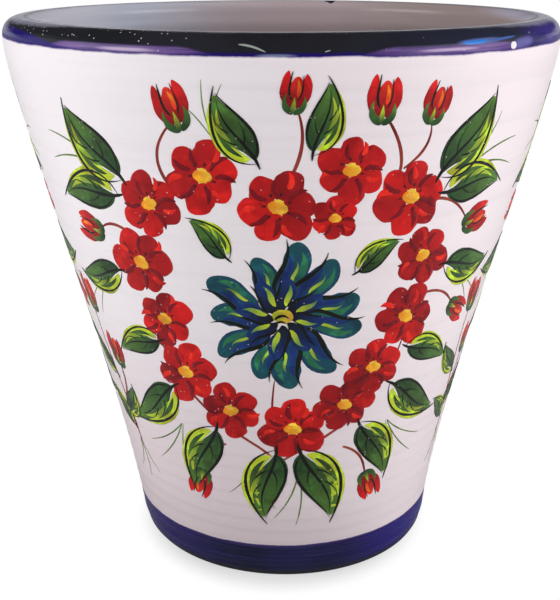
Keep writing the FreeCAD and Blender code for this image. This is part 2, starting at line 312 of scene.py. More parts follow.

# The white as it looks all over: pinker to the right, with painted shade that darkens it low down on the
# left and most at the heel.
tin_white_and_shade, taken, given = effect("tin white with painted shade", {"Place": "Vector"}, {"Colour": "Color", "Clouds": "Float"})
clouds = noise(tin_white_and_shade, taken["Place"], 14, 3)
bands = noise(tin_white_and_shade, taken["Place"], 1, 3, stretch=(6, 6, 210))
spot = xyz(tin_white_and_shade, taken["Place"])
white = tinted(
    tin_white_and_shade, cool_white,
    (pink_white, plus(tin_white_and_shade, spot["X"], clouds, 0.1), -0.03, 0.13, 1),
    (pooled_white, bands, 0.45, 0.75, 0.3),
)
# Painted shade: darker and warmer low on the wall, most on the left.
low = ranged(tin_white_and_shade, spot["Z"], 0.19, 0.04)
left = ranged(tin_white_and_shade, spot["X"], 0.07, -0.05, 0.4, 1.05)
white = mixed(tin_white_and_shade, math(tin_white_and_shade, "MULTIPLY", low, left), white, low_shade_white)
# Painted shade: darkest just above the foot band, more on the left.
low = ranged(tin_white_and_shade, spot["Z"], 0.06, 0.024, 0, 0.5)
left = ranged(tin_white_and_shade, spot["X"], 0.07, 0.02, 0.3, 1)
white = mixed(tin_white_and_shade, math(tin_white_and_shade, "MULTIPLY", low, left), white, heel_shade_white)
tin_white_and_shade.links.new(white, given["Colour"])
tin_white_and_shade.links.new(clouds, given["Clouds"])

# Cobalt run over a level edge: what lies clear above it, and what is above its paler fringe.
runs, taken, given = effect(
    "cobalt runs",
    {"Place": "Vector", "Edge": "Float", "Reach": "Float"},
    {"Above": "Float", "Fringe": "Float"},
)
drift = math(runs, "MULTIPLY", noise(runs, taken["Place"], 55, 2), 0.75)
drift = plus(runs, drift, noise(runs, taken["Place"], 420, 3), 0.25)
line = math(runs, "SUBTRACT", taken["Edge"], math(runs, "MULTIPLY", drift, taken["Reach"]))
over = math(runs, "SUBTRACT", xyz(runs, taken["Place"])["Z"], line)
runs.links.new(ranged(runs, over, -0.00015, 0.00015), given["Above"])
runs.links.new(ranged(runs, over, -0.0009, 0.0002), given["Fringe"])

# The soft ripple of a glaze that flowed in the kiln, flatter than it is wide.
ripples, taken, given = effect(
    "ripple of the glaze", {"Place": "Vector", "Scale": "Float", "Squeeze": "Float"}, {"Height": "Float"}
)
squeeze = node(ripples, "ShaderNodeCombineXYZ", {"X": 1.0, "Y": 1.0, "Z": taken["Squeeze"]}).outputs[0]
ripples.links.new(noise(ripples, taken["Place"], taken["Scale"], 2, stretch=squeeze), given["Height"])

white_glaze, tree, shader, place = fired("white tin glaze")
coat = laid(tree, tin_white_and_shade, Place=place)
over_foot = laid(tree, runs, Place=place, Edge=brushed_to, Reach=run_length)
white = mixed(tree, math(tree, "SUBTRACT", 1.0, over_foot["Fringe"]), coat["Colour"], violet)
white = mixed(tree, math(tree, "SUBTRACT", 1.0, over_foot["Above"]), white, cobalt)
tree.links.new(white, shader.inputs["Base Color"])
tree.links.new(ranged(tree, coat["Clouds"], 0.3, 0.7, 0.31, 0.36), shader.inputs["Roughness"])
bumped(tree, shader, laid(tree, ripples, Place=place, Scale=60.0, Squeeze=3.0)["Height"], 0.25, 0.0006)

skin = np.array((glaze_thickness, 0, 0))
white_face = profile(
    ((foot_radius, band_height, 0),),
    outside_wall[:-1] + skin,
    ((white_shoulder, neck_foot, shoulder_round),),
    ((rim_radius, glazes_meet, 0), (neck_radius, glazes_meet, 0)),
)
white_back = profile(
    ((neck_radius, glazes_meet, 0), (neck_radius, neck_foot, shoulder_round)),
    outside_wall[-2::-1],
    longest=0.01,
)[1:-1]
turned("white_coat", "outer_glaze", np.vstack((white_face, white_back)), white_glaze)


# The inside: a thin grey lining glaze, from the blue on the rim's crest down to the drain hole.
# It is bluish to the left, warm grey in the middle and taupe to the right.
blue_edge = 0.1369
glazed_floor = floor_thickness + glaze_thickness
grey_edge = drain_radius + 0.0035
spatter_place = (0.0331, 0.1314, 0.3)
bluish_grey, warm_grey, taupe = (0.63, 0.7, 0.85, 1), (0.49, 0.39, 0.4, 1), (0.385, 0.305, 0.29, 1)
streak_grey, painted_light_grey = (0.38, 0.32, 0.335, 1), (0.82, 0.8, 0.87, 1)
ledge_reflection_lilac, crest_grey, drop_blue = (0.55, 0.52, 0.68, 1), (0.3, 0.29, 0.33, 1), (0.03, 0.025, 0.06, 1)

# A drop of cobalt that fell on the far side of the crest.
spatter, taken, given = effect("cobalt spatter", {"Place": "Vector"}, {"Mask": "Float"})
sockets = {0: taken["Place"], 1: spatter_place}
away = node(spatter, "ShaderNodeVectorMath", sockets, operation="DISTANCE").outputs["Value"]
away = plus(spatter, away, noise(spatter, taken["Place"], 300, 2), 0.003)
spatter.links.new(ranged(spatter, away, 0.0058, 0.0052), given["Mask"])

grey_glaze, tree, shader, place = fired("grey lining glaze")
shader.inputs["Roughness"].default_value = 0.24
spot = xyz(tree, place)
side = plus(tree, spot["X"], noise(tree, place, 9, 3), 0.12)
grey = tinted(
    tree, bluish_grey,
    (warm_grey, side, -0.07, 0.06, 1),
    (taupe, side, 0.06, 0.16, 1),
    (streak_grey, noise(tree, place, 1, 2, stretch=(5, 5, 140)), 0.4, 0.7, 0.35),
    # Painted light: the far left end of the inside is paler.
    (painted_light_grey, spot["X"], -0.085, -0.13, 0.7),
)
# Painted reflection: pale lilac on the ledge under the crest at its right end.
ledge = ranged(tree, spot["Z"], 0.294, 0.2975)
ledge = math(tree, "MULTIPLY", ranged(tree, spot["X"], 0.115, 0.135, 0, 0.8), ledge)
grey = mixed(tree, ledge, grey, ledge_reflection_lilac)
stain = ranged(tree, laid(tree, from_axis, Place=place, Stray=0.005)["Distance"], 0.1355, 0.1395)
stain = math(tree, "MULTIPLY", stain, ranged(tree, spot["Z"], 0.2965, 0.2985))
grey = mixed(tree, stain, grey, crest_grey)
grey = mixed(tree, laid(tree, spatter, Place=place)["Mask"], grey, drop_blue)
tree.links.new(grey, shader.inputs["Base Color"])
bumped(tree, shader, laid(tree, ripples, Place=place, Scale=45.0, Squeeze=3.0)["Height"], 0.3, 0.0008)

crest_round = crest_inner_round + glaze_thickness
grey_face = profile(
    ((blue_edge, crown, 0), (blue_edge, pot_height, 0)),
    ((rim_bore - glaze_thickness, pot_height, crest_round),),
    ((rim_bore - glaze_thickness, bore_foot, under_rim_round),),
    ((inside_radius - glaze_thickness, inside_top, under_rim_round),),
    (inside_wall - skin)[-2:0:-1],
    ((corner_radius - glaze_thickness, glazed_floor, floor_round), (grey_edge, glazed_floor, 0)),
    ((grey_edge, floor_thickness, 0),),
    longest=0.0015,
)
grey_back = profile(
    ((grey_edge, floor_thickness, 0), (corner_radius, floor_thickness, floor_round)),
    hidden_wall[1:-1],
    ((inside_radius, inside_top, under_rim_round), (rim_bore, bore_foot, under_rim_round)),
    ((rim_bore, crown, crest_inner_round), (blue_edge, crown, 0)),
    longest=0.01,
)[1:-1]
turned("grey_lining", "inner_glaze", np.vstack((grey_face, grey_back)), grey_glaze)


# The rim: cobalt brushed thick over its face and crest, where it fires to a near-black navy. It
# thins to violet and pure blue low down, and a few pinholes have burst through to the white.
cobalt_edge = 0.2919
violet_low, violet_high = 0.2909, 0.2947
right_end_drop = 0.0011
black, soft_black, blue_black = (0.014, 0.0145, 0.018, 1), (0.02, 0.02, 0.027, 1), (0.02, 0.022, 0.042, 1)
right_end_reflection, left_end_reflection = (0.045, 0.03, 0.2, 1), (0.055, 0.047, 0.11, 1)
deep_violet, pale_violet, pure_blue = (0.085, 0.04, 0.19, 1), (0.19, 0.11, 0.31, 1), (0.014, 0.006, 0.14, 1)
burst_white, crest_end_reflection = (0.6, 0.58, 0.62, 1), (0.4, 0.385, 0.5, 1)

# Milky and bright blue marks in the cobalt, with painted highlights and a painted reflection among
# them. Each has its colour, its turn round to the right in degrees, its height on the pot, its
# length, its own height, its slope, its bow, and how far out it stays full, where less is softer.
rim_marks_and_highlights = (
    ((0.02, 0.014, 0.11, 1), 54.0, 0.2928, 0.03, 0.0068, 0.002, 0.0, -0.2),
    ((0.115, 0.105, 0.33, 1), 48.6, 0.2926, 0.02, 0.0056, 0.0012, 0.0, -0.1),
    ((0.32, 0.36, 0.32, 1), -4.8, 0.2949, 0.0118, 0.0009, -0.003, -0.0007, 0.7),
    ((0.45, 0.43, 0.5, 1), 7.4, 0.2931, 0.0024, 0.0004, 0.0006, 0.0, 0.7),
    ((0.1, 0.13, 0.32, 1), 36.5, 0.2948, 0.03, 0.003, 0.0006, 0.0, 0.0),
    ((0.035, 0.19, 0.6, 1), 35.2, 0.2945, 0.0165, 0.0018, 0.0004, 0.0004, 0.5),
    ((0.06, 0.12, 0.38, 1), 42.5, 0.2952, 0.02, 0.0012, 0.001, 0.0, 0.2),
    # Painted highlight: a near-white patch where a lamp is mirrored.
    ((0.8, 0.74, 0.77, 1), 45.2, 0.2918, 0.0045, 0.0034, 0.0, 0.0, 0.7),
    # Painted reflection: a grey-blue gleam along the lower edge.
    ((0.27, 0.32, 0.45, 1), -0.9, 0.2913, 0.019, 0.0018, 0.0, 0.0, -0.8),
    # Painted highlights: two soft pink-violet glows in the violet.
    ((0.72, 0.57, 0.75, 1), -27.0, 0.2926, 0.034, 0.0021, 0.0, 0.0, -0.9),
    ((0.7, 0.52, 0.72, 1), 29.5, 0.2921, 0.036, 0.0018, 0.0, 0.0, -0.9),
)
marks, taken, given = effect(
    "marks and painted highlights in the glaze",
    dict.fromkeys(("Turn", "Height", "At", "Rise", "Long", "Tall", "Slope", "Bow", "Full"), "Float"),
    {"Mask": "Float"},
)
along = math(marks, "DIVIDE", math(marks, "SUBTRACT", taken["Turn"], taken["At"]), taken["Long"])
squared = math(marks, "MULTIPLY", along, along)
above = math(marks, "SUBTRACT", taken["Height"], taken["Rise"])
slope = math(marks, "MULTIPLY", taken["Slope"], 0.5)
above = math(marks, "SUBTRACT", above, math(marks, "MULTIPLY", along, slope))
above = math(marks, "SUBTRACT", above, math(marks, "MULTIPLY", squared, taken["Bow"]))
above = math(marks, "DIVIDE", above, taken["Tall"])
far = math(marks, "POWER", math(marks, "ABSOLUTE", along), 3.0)
far = math(marks, "ADD", far, math(marks, "MULTIPLY", above, above))
marks.links.new(ranged(marks, far, 1.15, taken["Full"]), given["Mask"])

# Pinholes, where gas burst through the glaze: one in some cells of so many to the metre.
holes, taken, given = effect(
    "pinholes", {"Place": "Vector", "Scale": "Float", "Crowd": "Float"}, {"Mask": "Float"}
)
sockets = {"Vector": taken["Place"], "Scale": taken["Scale"], "Randomness": 1.0}
pores = node(holes, "ShaderNodeTexVoronoi", sockets).outputs
chosen = node(holes, "ShaderNodeSeparateColor", {0: pores["Color"]}).outputs[0]
chosen = ranged(holes, math(holes, "ADD", chosen, taken["Crowd"]), 0.97, 0.99)
pinhole = math(holes, "MULTIPLY", ranged(holes, pores["Distance"], 0.2, 0.12), chosen)
holes.links.new(pinhole, given["Mask"])

rim_glaze, tree, shader, place = fired("cobalt on the rim")
shader.inputs["Specular IOR Level"].default_value = 0.3
clouds = noise(tree, place, 22, 3)
streaks = noise(tree, place, 1, 3, stretch=(30, 30, 700))
spot = xyz(tree, place)
height = spot["Z"]
aside = math(tree, "ABSOLUTE", spot["X"])
round_it = math(tree, "ARCTAN2", spot["X"], math(tree, "MULTIPLY", spot["Y"], -1.0))
navy = tinted(
    tree, black,
    (soft_black, clouds, 0.35, 0.65, 1),
    (blue_black, spot["X"], 0.02, 0.09, 1),
    # Painted reflection: the rim is paler blue-violet at its right end and greyer at its left end.
    (right_end_reflection, spot["X"], 0.104, 0.128, 1),
    (left_end_reflection, spot["X"], -0.132, -0.147, 1),
)

# Below a line that rises and falls six times round the pot the coat is thin, and violet.
waves = math(tree, "SINE", plus(tree, 4.607, round_it, 6.0))
dip = ranged(tree, spot["X"], 0.02, 0.07, 0, right_end_drop)
top = plus(tree, ranged(tree, waves, -0.6, 0.4, violet_low, violet_high), dip, -0.55)
thin = ranged(tree, math(tree, "SUBTRACT", height, top), 0.0004, -0.0012, 0, 0.9)
navy = mixed(tree, thin, navy, tinted(tree, deep_violet, (pale_violet, streaks, 0.4, 0.7, 1)))

# It is pure blue along its lower edge, and further up towards the left end.
lowest = math(tree, "SUBTRACT", cobalt_edge, dip)
deep = ranged(tree, spot["X"], -0.09, -0.13, 0.0, 0.0055)
deep = math(tree, "ADD", deep, ranged(tree, aside, 0.05, 0.03, -0.0008, 0))
deep = plus(tree, deep, noise(tree, place, 130, 2), 0.001)
deep = math(tree, "SUBTRACT", math(tree, "SUBTRACT", height, lowest), deep)
navy = tinted(tree, navy, (pure_blue, deep, 0.0006, -0.001, 0.9))

# Pinholes crowd near the crest to the left of the middle.
crowd = ranged(tree, height, 0.2945, 0.297)
crowd = math(tree, "MULTIPLY", ranged(tree, spot["X"], -0.02, -0.05, 0, 0.6), crowd)
pinhole = laid(tree, holes, Place=place, Scale=480.0, Crowd=crowd)["Mask"]
navy = mixed(tree, math(tree, "MULTIPLY", pinhole, 0.85), navy, burst_white)

# Over the crest the cobalt thins into the lining's grey, further out at both ends.
ends = ranged(tree, aside, 0.075, 0.128)
out = plus(tree, laid(tree, from_axis, Place=place, Stray=0.003)["Distance"], ends, -0.0035)
# Painted reflection: the crest is paler lilac towards both ends.
crest = mixed(tree, ends, crest_grey, crest_end_reflection)
navy = mixed(tree, ranged(tree, out, 0.1433, 0.1395), navy, crest)
navy = mixed(tree, laid(tree, spatter, Place=place)["Mask"], navy, drop_blue)

# Under its lower edge lies a violet fringe, and then the white. The marks and painted highlights lie over
# all.
lower = laid(tree, runs, Place=place, Edge=lowest, Reach=run_length)
white = laid(tree, tin_white_and_shade, Place=place)["Colour"]
navy = mixed(tree, math(tree, "SUBTRACT", 1.0, lower["Above"]), navy, violet)
navy = mixed(tree, math(tree, "SUBTRACT", 1.0, lower["Fringe"]), navy, white)
for colour, turn, rise, long, tall, slope, bow, full in rim_marks_and_highlights:
    size = {"Long": long / rim_radius / 2, "Tall": tall / 2, "Slope": slope, "Bow": bow, "Full": full}
    mark = laid(tree, marks, Turn=round_it, Height=height, At=np.radians(turn), Rise=rise, **size)
    navy = mixed(tree, mark["Mask"], navy, colour)
tree.links.new(navy, shader.inputs["Base Color"])
sheen = ranged(tree, clouds, 0.3, 0.7, 0.1, 0.18)
tree.links.new(plus(tree, sheen, thin, 0.2), shader.inputs["Roughness"])
ripple = laid(tree, ripples, Place=place, Scale=90.0, Squeeze=2.0)["Height"]
bumped(tree, shader, plus(tree, ripple, pinhole, -0.4), 0.35, 0.0005)

rim_face_line = profile(
    ((neck_radius, glazes_meet, 0), (rim_radius, glazes_meet, 0)),
    ((rim_radius, pot_height, crest_outer_round + glaze_thickness),),
    ((blue_edge, pot_height, 0), (blue_edge, crown, 0)),
    longest=0.0005,
)
rim_back_line = profile(
    ((blue_edge, crown, 0), (rim_face, crown, crest_outer_round), (rim_face, rim_edge, 0)),
    ((neck_radius, neck_top, 0), (neck_radius, glazes_meet, 0)),
    longest=0.003,
)[1:-1]
turned("rim_coat", "rim_glaze", np.vstack((rim_face_line, rim_back_line)), rim_glaze)


# The foot: a band of cobalt brushed round its face and bevel as the pot turned on a banding wheel,
# so that its streaks run level. Its lower edge is wiped, and leaves the clay bare near the ground.
band_gap = 0.0022
bevel_lean = 0.0024
heel_radius = bevel_radius - bevel_lean * (1 - band_gap / bevel_height)
foot_black, foot_navy = (0.007, 0.008, 0.032, 1), (0.012, 0.012, 0.058, 1)
foot_streak = (0.035, 0.03, 0.13, 1)
side_blue, right_blue = (0.018, 0.009, 0.12, 1), (0.016, 0.01, 0.17, 1)
violet_edge, ground_shade_grey = (0.07, 0.02, 0.12, 1), (0.02, 0.021, 0.024, 1)

foot_glaze, tree, shader, place = fired("cobalt round the foot")
shader.inputs["Specular IOR Level"].default_value = 0.2
spot = xyz(tree, place)
streaks = noise(tree, place, 1, 4, stretch=(14, 14, 900))
blue = tinted(
    tree, foot_black,
    (foot_navy, noise(tree, place, 20, 3), 0.35, 0.65, 1),
    (foot_streak, streaks, 0.5, 0.72, 0.7),
    (side_blue, math(tree, "ABSOLUTE", spot["X"]), 0.015, 0.08, 0.7),
    (right_blue, spot["X"], 0.03, 0.07, 0.7),
    (violet_edge, spot["Z"], 0.0202, band_height, 0.8),
    # Painted shade: the band darkens to near-black grey towards the ground.
    (ground_shade_grey, spot["Z"], 0.0055, 0.0025, 0.85),
)
tree.links.new(blue, shader.inputs["Base Color"])
tree.links.new(ranged(tree, streaks, 0.4, 0.7, 0.24, 0.42), shader.inputs["Roughness"])
lumps = laid(tree, ripples, Place=place, Scale=150.0, Squeeze=2.0)["Height"]
bumped(tree, shader, plus(tree, streaks, ranged(tree, lumps, 0.6, 0.75), 0.8), 0.35, 0.0003)

foot_line = profile(
    ((heel_radius, band_gap, 0), (heel_radius + glaze_thickness, band_gap, 0)),
    ((bevel_radius + glaze_thickness, bevel_height, bevel_round),),
    ((foot_radius + glaze_thickness, band_height, 0), (foot_radius, band_height, 0)),
    ((bevel_radius, bevel_height, bevel_round), (heel_radius, band_gap, 0)),
    longest=0.0005,
)[:-1]
turned("foot_coat", "foot_glaze", foot_line, foot_glaze)


# The brushwork: coloured enamel painted on the raw white glaze and fired with it, so that it lies
# in the gloss and is hardly proud of it. Each stroke is pulled from one end to the other, streaked
# by the bristles, thin in places and pooled along its edges.
bouquets_at = (0, 118, 240)
enamel_sunk = 0.00004
enamel_proud = 0.0001
coat_step = 0.000018
per_metre = 1000
after_line, after_width = 8, 9
stroke_parts = (after_line, after_width, 10, 11, 12, 15)
thinning, thickening, burst_pink = (1.35, 1.7, 1.5, 1), (0.42, 0.3, 0.42, 1), (0.8, 0.62, 0.64, 1)


def dyed(tree, colour, dye):
    """The colour times the dye."""
    sockets = {0: 1.0, 6: colour, 7: dye}
    return node(tree, "ShaderNodeMix", sockets, data_type="RGBA", blend_type="MULTIPLY").outputs[2]


enamel, tree, shader, place = fired("painted enamel")
shader.inputs["Specular IOR Level"].default_value = 0.22
paint = node(tree, "ShaderNodeAttribute", attribute_name="paint", attribute_type="GEOMETRY").outputs
brush = node(tree, "ShaderNodeUVMap", uv_map="brush").outputs[0]
bristles = noise(tree, brush, 1, 3, stretch=(60, 1100, 1))
pooled = dyed(tree, paint["Color"], thickening)
colour = tinted(
    tree, paint["Color"],
    (dyed(tree, paint["Color"], thinning), noise(tree, place, 170, 2), 0.5, 0.72, 0.8),
    (pooled, noise(tree, place, 75, 3), 0.5, 0.32, 0.6),
    (pooled, bristles, 0.52, 0.75, 0.4),
    (pooled, paint["Alpha"], 0.75, 1.0, 0.45),
)
pinhole = laid(tree, holes, Place=place, Scale=560.0, Crowd=0.05)["Mask"]
colour = mixed(tree, math(tree, "MULTIPLY", pinhole, 0.7), colour, burst_pink)
tree.links.new(colour, shader.inputs["Base Color"])
tree.links.new(ranged(tree, bristles, 0.3, 0.7, 0.16, 0.28), shader.inputs["Roughness"])


def on_the_wall(across, up, proud, turn):
    """Carries a drawing in metres onto the white coat, true to size: across is measured round the
    wall from the bouquet's middle, up from the ground, and proud outwards from the glaze."""
    radius = np.interp(up, white_face[:, 1], white_face[:, 0])
    return settled(radius + proud, up, turn + across / radius)


def strokes(*rows):
    """Strokes in millimetres, a row each: its line's four poles, its width, how blunt its two ends
    are (small is blunt), its coat of paint, and its colours where it starts and where it ends. All
    become one row of numbers, which stroke_parts divides."""
    return np.array([np.hstack(row) for row in rows])


def placed(drawing, across, up, turn=0.0, size=1.0, bow=1):
    """Strokes bowed the other way where bow is -1, turned clockwise by so many degrees, sized, and
    moved to their place."""
    line, width, rest = np.split(drawing, (after_line, after_width), axis=1)
    turn = np.radians(turn)
    wheel = np.array(((np.cos(turn), -np.sin(turn)), (np.sin(turn), np.cos(turn))))
    line = (line.reshape(-1, 4, 2) * (bow, 1)) @ wheel * size + (across, up)
    return np.hstack((line.reshape(-1, 8), width * size, rest))


def tips_first(values):
    """Values over a grid for each stroke, as one list: at its two tips, then at all the points of
    its rings."""
    size = values.shape[-1]
    rings = values[:, 1:-1].reshape(len(values), -1, size)
    return np.concatenate((values[:, (0, -1), -1], rings), axis=1).reshape(-1, size)


def stroke_faces(count, rows, wide):
    """The faces of so many closed strokes with their tips first: four-cornered ones from ring to
    ring, and three-cornered ones from the end rings to the tips."""
    first = np.arange(count)[:, None, None] * (2 + rows * wide)
    row, column = np.indices((rows - 1, wide))
    ring, beside = 2 + row * wide, (column + 1) % wide
    corners = (ring + column, ring + beside, ring + wide + beside, ring + wide + column)
    faces = (first[..., None] + np.stack(corners, axis=-1)).reshape(-1, 4)
    column, beside, last = column[0], beside[0], 2 + (rows - 1) * wide
    tips = (
        np.stack((0 * column, 2 + beside, 2 + column), axis=-1),
        np.stack((last + column, last + beside, 0 * column + 1), axis=-1),
    )
    return faces, (first + np.concatenate(tips)).reshape(-1, 3)


def painted(name, drawing, rows=24, columns=9, lift=0.0):
    """Strokes as closed lenses of enamel, drawn once for each bouquet round the pot. A stroke's line
    is a cubic curve. Its width swells as u to one power times 1 - u to the other, and wavers a
    little. Its section is flat below, sunk in the glaze, and level on top with thin edges."""
    drawing = np.vstack(drawing)
    poles, width, start, end, coat, first_colour, last_colour = np.split(drawing, stroke_parts, axis=1)
    count, bouquets = len(drawing), len(bouquets_at)

    # The line of each stroke, and its half width along it.
    u = (1 - np.cos(np.linspace(0, np.pi, rows + 2)[None, :])) / 2
    poles = poles.reshape(-1, 1, 4, 2) / per_metre
    weights = np.stack(((1 - u) ** 3, 3 * (1 - u) ** 2 * u, 3 * (1 - u) * u**2, u**3), axis=-1)
    line = (poles * weights[..., None]).sum(axis=2)
    along = np.gradient(line, axis=1)
    along /= np.linalg.norm(along, axis=-1, keepdims=True) + 1e-12
    widest = start**start * end**end / (start + end) ** (start + end)
    number = np.arange(count)[:, None]
    waver = 1 + 0.06 * np.sin(7 * u + number * 2.1) + 0.04 * np.sin(17 * u + number * 1.3)
    half = width / 2 / per_metre * u**start * (1 - u) ** end / widest * waver

    # Its section from edge to edge and back, in the drawing and out from the glaze.
    side = np.append(np.sin(np.linspace(-np.pi / 2, np.pi / 2, columns)), 0)
    top = np.append(np.append(0, np.ones(columns - 2)), (0, 0))
    across = line[:, :, None, 0] + (along[..., 1] * half)[..., None] * side
    up = line[:, :, None, 1] - (along[..., 0] * half)[..., None] * side
    coat = coat[..., None] + 0.3 * np.sin(number * 2.4)[..., None]
    proud = -enamel_sunk + top * (enamel_proud + lift + coat_step * coat) + np.zeros_like(across)

    # Its paint, with how near the edge it is, and its place under the bristles.
    fade = (u[..., None] * np.ones(len(side)))[..., None] ** 1.3
    colour = first_colour[:, None, None] * (1 - fade) + last_colour[:, None, None] * fade
    edge = np.broadcast_to(side**2, across.shape)
    colour = np.concatenate((colour, edge[..., None]), axis=-1)
    length = np.linalg.norm(np.diff(line, axis=1), axis=-1)
    length = np.concatenate((np.zeros((count, 1)), np.cumsum(length, axis=1)), axis=1)
    brush = np.stack((length[..., None] + np.zeros_like(across), half[..., None] * side), axis=-1)
    brush = brush + np.stack((number * 0.037, number * 0.011), axis=-1)[:, :, None, :]

    # The mesh, with the same paint in every bouquet.
    turns = np.radians(bouquets_at)[:, None, None, None]
    place = on_the_wall(across[None], up[None], proud[None], turns)
    place = tips_first(place.reshape(-1, *place.shape[2:]))
    faces, tips = stroke_faces(bouquets * count, rows, len(side))
    piece = piece_of(name, place, faces, enamel, points=tips)
    colour = np.tile(tips_first(colour), (bouquets, 1)).astype(np.float32)
    colours = piece.data.attributes.new("paint", "FLOAT_COLOR", "POINT")
    colours.data.foreach_set("color", colour.ravel())
    brush = np.tile(tips_first(brush), (bouquets, 1)).astype(np.float32)
    order = np.zeros(len(piece.data.loops), dtype=np.int32)
    piece.data.loops.foreach_get("vertex_index", order)
    layer = piece.data.uv_layers.new(name="brush")
    layer.data.foreach_set("uv", brush[order].ravel())


# The flowers, in that enamel: a common folk bouquet with a cornflower as its heart, a ring of
# six-petalled blossoms about it, buds and paired leaves outside them, and fine tendrils.
crimson, scarlet, vermilion = (0.19, 0.005, 0.01), (0.72, 0.011, 0.01), (0.8, 0.026, 0.013)
orange, yellow = (0.8, 0.25, 0.012), (0.85, 0.5, 0.04)
bottle, leaf_green, lime = (0.018, 0.055, 0.018), (0.08, 0.175, 0.03), (0.5, 0.6, 0.03)
ink, russet, moss = (0.006, 0.008, 0.006), (0.33, 0.055, 0.035), (0.11, 0.2, 0.04)
navy_blue, teal, sea_green = (0.01, 0.03, 0.15), (0.01, 0.075, 0.09), (0.03, 0.19, 0.07)
hand = np.random.default_rng(5)


def ring_of(drawing, count, stray=6.0):
    """The same strokes all round a flower, each a little off its even place, as by hand."""
    turns = np.arange(count) * 360 / count + hand.uniform(-stray, stray, count)
    sizes = hand.uniform(0.9, 1.08, count)
    return np.vstack([placed(drawing, 0, 0, turn, size) for turn, size in zip(turns, sizes)])


def blossom(across, up, turn=0.0, size=1.0):
    """Six round lobes, each its own wet red and darker where two overlap, with an orange heart in
    a ring of ink dots."""
    lobe = strokes(
        ((0, 3), (-1.2, 6), (1, 11), (0, 16.4), 12.8, (0.55, 0.42), 1, crimson, scarlet),
    )
    lobes = ring_of(lobe, 6)
    wet = hand.uniform(0.2, 1, (6, 1))
    red = np.array(crimson) * (1 - wet) + np.array(scarlet) * wet
    lobes[:, -6:] = np.hstack((red * 0.75, red))
    overlap = strokes(
        ((1, 5), (-1, 8), (0.6, 11), (2.4, 13.4), 3.2, (0.5, 0.8), 2, crimson, crimson),
    )
    overlaps = placed(ring_of(overlap, 6, 12), 0, 0, 30)
    dab = strokes(
        ((1.8, 8), (3.4, 10), (3, 13), (0.6, 14.6), 3.2, (0.5, 0.8), 2, vermilion, scarlet),
    )
    heart = strokes(
        ((-3.6, 1), (-1.4, -0.8), (1.4, -0.8), (4, 1), 6.6, (0.4, 0.4), 3, orange, yellow),
        ((-2, 1.8), (-0.6, 3), (0.8, 2.8), (2.4, 1.4), 2.2, (0.5, 0.8), 4, yellow, yellow),
    )
    dot = strokes(
        ((0, 4.6), (0.3, 5), (0.2, 5.6), (0, 6.4), 1.4, (0.4, 0.7), 5, ink, crimson),
    )
    dots = ring_of(dot, 7, 9)
    dabs = np.vstack((overlaps, ring_of(dab, 3, 25), heart, dots))
    return placed(lobes, across, up, turn, size), placed(dabs, across, up, turn, size)


def cornflower(across, up, turn, size):
    """Two rings of feathered blue-green strokes, boldly inked between, with a lime heart."""
    outer = strokes(
        ((0, 6), (-7, 13), (6, 21), (-2, 32), 11.5, (0.8, 0.42), 1, navy_blue, teal),
        ((2.4, 11), (-1, 16), (7, 22), (1.6, 29), 3.6, (0.7, 0.8), 2, teal, sea_green),
        ((-2, 12), (-5, 17), (1, 22), (-3, 27), 2.4, (0.7, 0.8), 2, navy_blue, navy_blue),
        ((0.6, 15), (-1, 18), (3, 22), (0.4, 25), 1.4, (0.6, 0.9), 3, lime, sea_green),
        ((-4, 9), (-9.6, 16), (0.4, 22), (-5, 33), 2, (0.5, 0.8), 4, ink, ink),
    )
    inner = strokes(
        ((0, 3), (-3, 7), (3.4, 12), (0, 18.6), 7, (0.7, 0.5), 5, ink, navy_blue),
        ((1, 6), (0, 9), (3.4, 12), (1.4, 16), 2.4, (0.6, 0.9), 6, lime, sea_green),
        ((-3, 5), (-5, 9), (-1, 13), (-2.6, 19), 1.4, (0.5, 0.8), 6, ink, ink),
    )
    heart = strokes(
        ((-4, 0), (-1, 1.4), (1, 1.4), (4, 0), 7, (0.4, 0.4), 7, lime, yellow),
        ((-3, -1), (-1.4, 2), (1.4, 2.2), (3.2, -0.4), 1.4, (0.4, 1), 8, ink, ink),
        ((-2, -2.4), (-0.6, -1.2), (0.8, -1.2), (2.2, -2.4), 1.1, (0.4, 1), 8, ink, ink),
    )
    drawing = np.vstack((ring_of(outer, 11), ring_of(inner, 8), heart))
    return placed(drawing, across, up, turn, size)


def leaf(across, up, turn, size=1.0, bow=1):
    """A leaf that bends towards its tip, in wet lime with mid green over it on one side of the rib,
    and its bold ink lines, which swell and thin and don't quite keep to the green."""
    body = strokes(
        ((2, 2), (15, 11), (14, 31), (-2, 49), 11, (0.7, 0.7), 1, lime, lime),
        ((0, 0), (-9, 13), (7, 30), (-3, 49), 17.5, (0.7, 0.7), 2, bottle, leaf_green),
        ((4, 12), (9, 20), (9, 30), (1, 41), 4, (0.8, 0.9), 3, leaf_green, lime),
        ((-3, 6), (-9, 15), (-1, 28), (-3, 40), 5, (0.8, 0.9), 3, bottle, leaf_green),
        ((5, 6), (10, 13), (11, 22), (9, 32), 3.4, (0.8, 1.1), 3, bottle, leaf_green),
    )
    veins = strokes(
        ((0.6, -7), (-5, 13), (8, 28), (-3, 47), 2.5, (0.35, 0.9), 5, ink, ink),
        ((0, -3), (21, 8), (18, 33), (-6, 54), 2.4, (0.9, 0.6), 5, ink, ink),
        ((-1, 1), (-18, 12), (-5, 34), (-4, 50), 2.1, (0.6, 0.9), 5, ink, ink),
        ((2.6, 14), (6, 16), (9, 21), (10, 28), 1.5, (0.5, 1.2), 6, ink, bottle),
        ((3.4, 24), (6, 27), (7, 31), (6.6, 37), 1.4, (0.5, 1.2), 6, ink, bottle),
        ((0.4, 12), (-4, 15), (-6, 20), (-6, 27), 1.4, (0.5, 1.2), 6, ink, bottle),
    )
    return placed(body, across, up, turn, size, bow), placed(veins, across, up, turn, size, bow)


